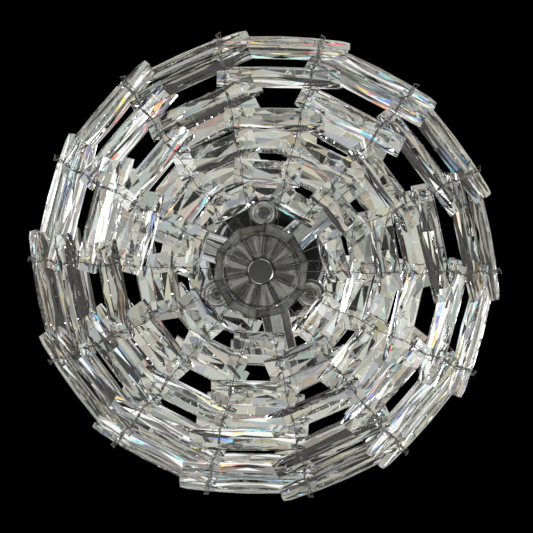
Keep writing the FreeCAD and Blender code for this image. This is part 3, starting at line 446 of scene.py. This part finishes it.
def barPlace(row, bay):
    # turn and place of one bar about the globe's middle: rows above the equator are negative.
    # Each bar rocks and slants by its own number, more so near the equator or near the poles
    step, side = abs(row), -1 if row > 0 else 1
    number = math.radians(globe["goldenAngle"] * (row * globe["strands"] + bay))
    around = math.radians(globe["rowAngle"] * step)
    rock = globe["rocking"] * math.cos(around) * math.sin(number)
    sway = globe["sway"] * math.sin(around) * math.sin(number * 2)
    tilt = math.radians(lean[step] * side)
    facing = np.array([(0, -math.sin(tilt), math.cos(tilt)), (1, 0, 0),
                       (0, math.cos(tilt), math.sin(tilt))])
    middle = turnAbout("Z", globe["firstStrand"] - bayAngle * (bay + 0.5))
    spot = middle @ (ring[step] * math.cos(math.radians(bayAngle / 2)), 0, reach[step] * side)
    return middle @ facing @ turnAbout("X", rock) @ turnAbout("Z", sway), spot


def baysOf(row):
    # every other gap between strands, in turn from row to row. Near the top the turns are
    # swapped, so that these bars fill the gaps that the lower ones leave
    swapped = 1 if row < -globe["lastMatching"] else 0
    return range((row + swapped + 1) % 2, globe["strands"], 2)


def barSurface(step):
    # a ring of eight points carried along the bar. The front is the lower of its curved table,
    # crown - x**2 / (2 crownRadius), and its end bevels, frontEdge + slope * inward; the back
    # is a shallow roof with every other point pushed out or in, so that its diagonals cut it
    # into long diamonds
    cut, section = barCut, barCut["section"]
    left = -chord[step] / 2 - cut["shortEnd"]
    right = chord[step] / 2 + cut["longEnd"] - cut["longTrim"] * max(0, step - cut["lastLong"])
    lengths = max(2, round((right - left) / cut["diamond"]))
    half, rise = (right - left) / 2, cut["crown"] - cut["frontEdge"]
    slope = rise / cut["frontHip"]
    # hip: how far from the ends the table and the end bevels meet
    across = slope - half / cut["crownRadius"]
    below = half ** 2 / (2 * cut["crownRadius"]) - rise
    hip = (-across + math.sqrt(across ** 2 - 2 * below / cut["crownRadius"])) * cut["crownRadius"]
    x = np.concatenate(([left], np.linspace(left + hip, right - hip, lengths - 1), [right]))
    inward = np.minimum(x - left, right - x)
    off = x - (left + right) / 2
    table = np.minimum(cut["crown"] - off ** 2 / (2 * cut["crownRadius"]),
                       cut["frontEdge"] + np.maximum(inward, cut["endHip"]) * slope)
    side = cut["width"] / 2
    bevel = side - (table - cut["frontEdge"]) * (side - cut["table"] / 2) / rise
    roof = ((cut["backRidge"] - cut["backEdge"]) * np.minimum(1, inward / cut["backHip"])
            * cut["backRise"])
    odd = np.where(np.arange(lengths + 1) % 2 == 0, 1.0, -1.0) * (inward > 0)
    back, push = cut["backEdge"] + roof, odd * cut["facetDepth"]
    edge, front = np.full_like(x, side), np.full_like(x, cut["frontEdge"])
    low = np.full_like(x, -cut["backEdge"])
    y = np.stack((-edge, -bevel, bevel, edge, edge, edge / 3, -edge / 3, -edge), axis=1)
    z = np.stack((front, table, table, front, low, push - back, -back - push, low), axis=1)
    points = np.stack((np.repeat(x[:, None], section, axis=1), y, z), axis=2).reshape(-1, 3)
    i, k = np.meshgrid(np.arange(lengths), np.arange(section), indexing="ij")
    a, b = i * section + k, (i + 1) * section + k
    c, d = (i + 1) * section + (k + 1) % section, i * section + (k + 1) % section
    # front and sides stay whole, and the three strips of the back are cut along diagonals
    whole = (k < 4) | (k == 7)
    slant, other = ~whole & ((i + k) % 2 == 0), ~whole & ((i + k) % 2 == 1)
    quads = np.stack((a, b, c, d), axis=2)[whole]
    triangles = np.concatenate((
        np.stack((a, b, c), axis=2)[slant], np.stack((a, c, d), axis=2)[slant],
        np.stack((a, b, d), axis=2)[other], np.stack((b, c, d), axis=2)[other]))
    first = np.arange(section)
    caps = np.stack((first, lengths * section + first[::-1]))
    return points, (quads, triangles, caps)


def tubeSurface(paths, sideways, radius, sides):
    # a round section carried along each path: centre plus radius times cosine of the angle
    # along one normal and sine along the other
    along = np.gradient(paths, axis=1)
    along /= np.linalg.norm(along, axis=2, keepdims=True)
    first = np.cross(sideways[:, None, :], along)
    first /= np.linalg.norm(first, axis=2, keepdims=True)
    second = np.cross(along, first)
    turn = np.arange(sides) * 2 * math.pi / sides
    points = (paths[:, :, None, :] + radius * np.cos(turn)[:, None] * first[:, :, None, :]
              + radius * np.sin(turn)[:, None] * second[:, :, None, :])
    count, length = paths.shape[:2]
    n, i, k = np.meshgrid(np.arange(count), np.arange(length - 1), np.arange(sides),
                          indexing="ij")
    low, high = (n * length + i) * sides, (n * length + i + 1) * sides
    after = (k + 1) % sides
    walls = np.stack((low + k, low + after, high + after, high + k), axis=3).reshape(-1, 4)
    start = (np.arange(count) * length * sides)[:, None]
    caps = np.concatenate((start + np.arange(sides)[::-1],
                           start + (length - 1) * sides + np.arange(sides)))
    return points.reshape(-1, 3), (walls, caps)


def faceLists(kinds, base=0):
    # faces from several arrays, one for each number of corners, counted on from base
    return [face for kind in kinds for face in (kind + base).tolist()]


def newPiece(name, points, faces, material, body, smooth=False):
    mesh = bpy.data.meshes.new(name)
    mesh.from_pydata(points.tolist(), [], faces)
    mesh.polygons.foreach_set("use_smooth", [smooth] * len(mesh.polygons))
    mesh.materials.append(material)
    mesh.update()
    piece = bpy.data.objects.new(name, mesh)
    scene.collection.objects.link(piece)
    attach(piece, body)
    return piece


barMap = {"name": "alongBar", "span": 0.14}


def mapAlong(bars, points, count):
    # texture coordinates: each bar laid flat, with its middle in the middle of the map
    flat = np.tile(points[:, :2] / barMap["span"] + 0.5, (count, 1))
    layer = bars.data.uv_layers.new(name=barMap["name"])
    corner = np.empty(len(bars.data.loops), dtype=np.int32)
    bars.data.loops.foreach_get("vertex_index", corner)
    layer.uv.foreach_set("vector", flat[corner].ravel())


def makeBars():
    # one object for each row and its partner on the other side of the equator
    middle = np.array(globeMiddle)
    for step in range(globe["rows"] + 1):
        points, kinds = barSurface(step)
        back, front = -barCut["backEdge"] * drilled["back"], barCut["frontEdge"] * drilled["front"]
        holes = np.array([[(x, 0.0, back), (x, 0.0, front)]
                          for x in (-chord[step] / 2, chord[step] / 2)])
        drill, drillKinds = tubeSurface(holes, np.array([[1.0, 0, 0]] * 2), drilled["radius"],
                                        drilled["sides"])
        barPoints, barFaces, drillPoints, drillFaces = [], [], [], []
        for row in (step, -step) if step else (0,):
            for bay in baysOf(row):
                turn, spot = barPlace(row, bay)
                barFaces += faceLists(kinds, len(barPoints) * len(points))
                drillFaces += faceLists(drillKinds, len(drillPoints) * len(drill))
                barPoints.append(points @ turn.T + spot + middle)
                drillPoints.append(drill @ turn.T + spot + middle)
        bars = newPiece(f"cutBars{step}", np.concatenate(barPoints), barFaces, crystal,
                        "pendant")
        mapAlong(bars, points, len(barPoints))
        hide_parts(f"crystals_row_{step}" if step else "crystals_equator")
        newPiece(f"drilledHoles{step}", np.concatenate(drillPoints), drillFaces, groundHole,
                 "pendant", True)
    print("bars in", globe["rows"] + 1, "objects")


makeBars()

# wires, from bar to bar and from the last bars to the plates

wireBend = {"diameter": 0.0008, "gap": 0.0003, "bend": 0.0011, "lift": 0.0034, "tail": 0.003,
            "tailGap": 0.0013, "circle": 0.033, "tieLift": 0.003, "plate": 0.003, "sides": 5}


def wireEnd(row, strand, upper):
    # hooked end, back and front of a wire at one hole
    bay = strand if strand in baysOf(row) else (strand - 1) % globe["strands"]
    x = chord[abs(row)] / 2 * (1 if bay == strand else -1)
    turn, spot = barPlace(row, bay)
    shift = (wireBend["diameter"] + wireBend["gap"]) / 2 * (1 if upper else -1)
    back = -barCut["backRidge"] - wireBend["tailGap"]
    front = barCut["crown"] + wireBend["lift"]
    tail = shift + math.copysign(wireBend["tail"], shift)
    local = np.array([(x, tail, back), (x, shift, back), (x, shift, front)])
    return local @ turn.T + spot


def tieEnd(strand, side):
    # the same at a plate: along the pin circle, through the plate and hooked inwards
    angle = math.radians(globe["firstStrand"] - bayAngle * strand)
    inner = (plateReach - wireBend["tieLift"]) * side
    outer = (plateReach + wireBend["plate"] + wireBend["tailGap"]) * side
    circle, end = wireBend["circle"], wireBend["circle"] - wireBend["tail"]
    away, height = np.array([(circle, inner), (circle, outer), (end, outer)]).T
    return np.stack((away * math.cos(angle), away * math.sin(angle), height), axis=1)


def bentPaths(corners):
    # each inner corner becomes the two ends and the middle of a short arc
    before, corner, after = corners[:, :-2], corners[:, 1:-1], corners[:, 2:]
    toBefore, toAfter = before - corner, after - corner
    first = corner + toBefore / np.linalg.norm(toBefore, axis=2, keepdims=True) * wireBend["bend"]
    last = corner + toAfter / np.linalg.norm(toAfter, axis=2, keepdims=True) * wireBend["bend"]
    arcs = np.stack((first, (first + 2 * corner + last) / 4, last), axis=2)
    arcs = arcs.reshape(len(corners), -1, 3)
    return np.concatenate((corners[:, :1], arcs, corners[:, -1:]), axis=1)


def makeWires(name, node, ends):
    # ends: for each wire the points of its one end and then those of its other end, with the
    # strands in turn
    strand = np.arange(len(ends)) % globe["strands"]
    angles = np.radians(globe["firstStrand"] - bayAngle * strand)
    sideways = np.stack((-np.sin(angles), np.cos(angles), angles * 0), axis=1)
    corners = np.array([np.concatenate(pair) for pair in ends])
    points, kinds = tubeSurface(bentPaths(corners) + np.array(globeMiddle), sideways,
                                wireBend["diameter"] / 2, wireBend["sides"])
    wires = newPiece(name, points, faceLists(kinds), nickelWire, "pendant", True)
    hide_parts(node)


for label, rows in (("upper", range(-globe["rows"], 0)), ("lower", range(globe["rows"]))):
    makeWires(f"{label}Wires", f"wire_links_{label}",
              [(wireEnd(row, strand, False), wireEnd(row + 1, strand, True)[::-1])
               for row in rows for strand in range(globe["strands"])])
for label, side in (("top", 1), ("bottom", -1)):
    makeWires(f"{label}Ties", f"wire_ties_{label}",
              [(wireEnd(-side * globe["rows"], strand, side > 0), tieEnd(strand, side))
               for strand in range(globe["strands"])])
print("wires bent")


# camera, looking up from below as in the photograph. In pixels: where the globe's middle shows
# and how far beside it the disc at the bottom shows. Drop: how far that disc is below it

photo = {"size": 533.0, "middle": (264.8, 265.0), "disc": (-4.05, 6.25), "distance": 10.0,
         "drop": 0.27, "pixel": 0.001, "sensor": 36.0, "clip": 50.0}


def makeCamera():
    # the disc's place beside the middle gives the view's tilt
    away, drop, size = photo["distance"], photo["drop"], photo["size"]
    right, down = (v * photo["pixel"] / drop * (away - drop) / away for v in photo["disc"])
    toCamera = Vector((-right, -down, -1.0)).normalized()
    data = bpy.data.cameras.new("photoCamera")
    camera = bpy.data.objects.new("photoCamera", data)
    scene.collection.objects.link(camera)
    data.sensor_width = photo["sensor"]
    data.lens = photo["sensor"] * away / (size * photo["pixel"])
    data.clip_end = photo["clip"]
    data.shift_x = (size / 2 - photo["middle"][0]) / size
    data.shift_y = (photo["middle"][1] - size / 2) / size
    forward = -toCamera
    side = forward.cross(Vector((0, -1, 0))).normalized()
    up = side.cross(forward).normalized()
    turn = Matrix((side, up, -forward)).transposed().to_4x4()
    camera.matrix_world = Matrix.Translation(globeMiddle + toCamera * away) @ turn
    scene.camera = camera
    print("camera at", [round(v, 3) for v in camera.location])


makeCamera()


# world and lamps

studio = {"ceiling": (0.46, 0.463, 0.42), "ceilingEdge": 0.76, "ceilingStart": 25.0,
          "patches": 27.0, "patchEdge": 4.0, "dimFrom": 0.8, "brighter": 0.30, "dimmer": 0.30,
          "dark": (0.018, 0.015, 0.012), "bandLow": 0.35, "bandStart": 4.0, "below": 0.04,
          "panels": 4, "panelLight": 1.0, "panelShare": 3.0, "panelEdge": 9.0,
          "slats": 31.0, "slatBends": 5.0, "slatBend": 1.5, "slatEdge": 5.0, "slatGap": 0.25,
          "fringe": 0.007}


def makeWorld():
    # pale ceiling with brighter and dimmer patches, and between it and the floor a dark band
    # with upright panels of light behind thin slats. The three colours see it a touch apart,
    # which gives cut glass its fire. The camera itself sees black
    room = studio
    world = bpy.data.worlds.new("studio")
    world.use_nodes = True
    scene.world = world
    look = Look(world.node_tree)
    direction = look.add("ShaderNodeTexCoord", out=0)
    parts = look.add("ShaderNodeSeparateXYZ", None, {"Vector": direction})
    x, y, z = (look.other(parts, name) for name in "XYZ")
    angle = x.join("ARCTAN2", y, x)

    def seenBy(shift, pale, dark):
        turned, height = angle + shift, z + shift
        panels = (turned * room["panels"]).wave() * room["panelEdge"] + room["panelShare"]
        bends = (turned * room["slatBends"]).wave() * room["slatBend"]
        slats = ((height * room["slats"] + bends).wave() * room["slatEdge"] + 1.0).clamped()
        gaps = room["slatGap"] + slats * (1 - room["slatGap"])
        lit = panels.clamped() * gaps * room["panelLight"]
        ceiling = ((height - room["ceilingEdge"]) * room["ceilingStart"]).clamped()
        band = (1 - ceiling) * ((z + room["bandLow"]) * room["bandStart"]).clamped()
        across = ((x + shift) * room["patches"]).wave()
        patches = across * ((y + shift) * room["patches"]).wave()
        bright = (patches * room["patchEdge"]).clamped()
        dim = (patches * -room["patchEdge"] - room["dimFrom"]).clamped()
        overhead = (bright * room["brighter"] - dim * room["dimmer"] + 1.0) * pale
        return ceiling * overhead + band * (lit + dark) + (1 - ceiling) * room["below"]

    shifts = (room["fringe"], 0.0, -room["fringe"])
    red, green, blue = (seenBy(shift, pale, dark) for shift, pale, dark
                        in zip(shifts, room["ceiling"], room["dark"]))
    colour = look.add("ShaderNodeCombineColor", None, {"Red": red, "Green": green, "Blue": blue})
    seen = look.other(look.add("ShaderNodeLightPath"), "Is Camera Ray")
    background = look.add("ShaderNodeBackground", None, {"Color": colour, "Strength": 1 - seen})
    look.add("ShaderNodeOutputWorld", None, {"Surface": background})


makeWorld()

# two softboxes beside the globe: place is x and y, and the height above the globe's middle

softboxes = {"leftBox": {"place": (-1.6, -0.5, -0.9), "size": (0.9, 0.9), "power": 14},
             "rightBox": {"place": (1.5, 0.7, -0.6), "size": (0.7, 1.0), "power": 10}}

for name, box in softboxes.items():
    data = bpy.data.lights.new(name, "AREA")
    data.shape = "RECTANGLE"
    data.size, data.size_y = box["size"]
    data.energy = box["power"]
    lamp = bpy.data.objects.new(name, data)
    scene.collection.objects.link(lamp)
    lamp.location = box["place"]
    lamp.location.z += globeMiddle.z
    lamp.rotation_euler = (globeMiddle - lamp.location).to_track_quat("-Z", "Y").to_euler()
    lamp.visible_camera = False
print("lamps", len(softboxes))

# pale floor under the light, behind the camera

floorPlane = {"half": 12.0, "height": -11.5, "colour": (0.74, 0.74, 0.73), "rough": 0.6,
              "grain": 60.0}

half, height = floorPlane["half"], floorPlane["height"]
floorMesh = bpy.data.meshes.new("paleFloor")
floorMesh.from_pydata([(-half, -half, height), (half, -half, height), (half, half, height),
                       (-half, half, height)], [], [(0, 1, 2, 3)])
floorMesh.materials.append(plasticMaterial("paleFloor", floorPlane["colour"],
                                           floorPlane["rough"], floorPlane["grain"]))
floor = bpy.data.objects.new("paleFloor", floorMesh)
scene.collection.objects.link(floor)
print("stage set")
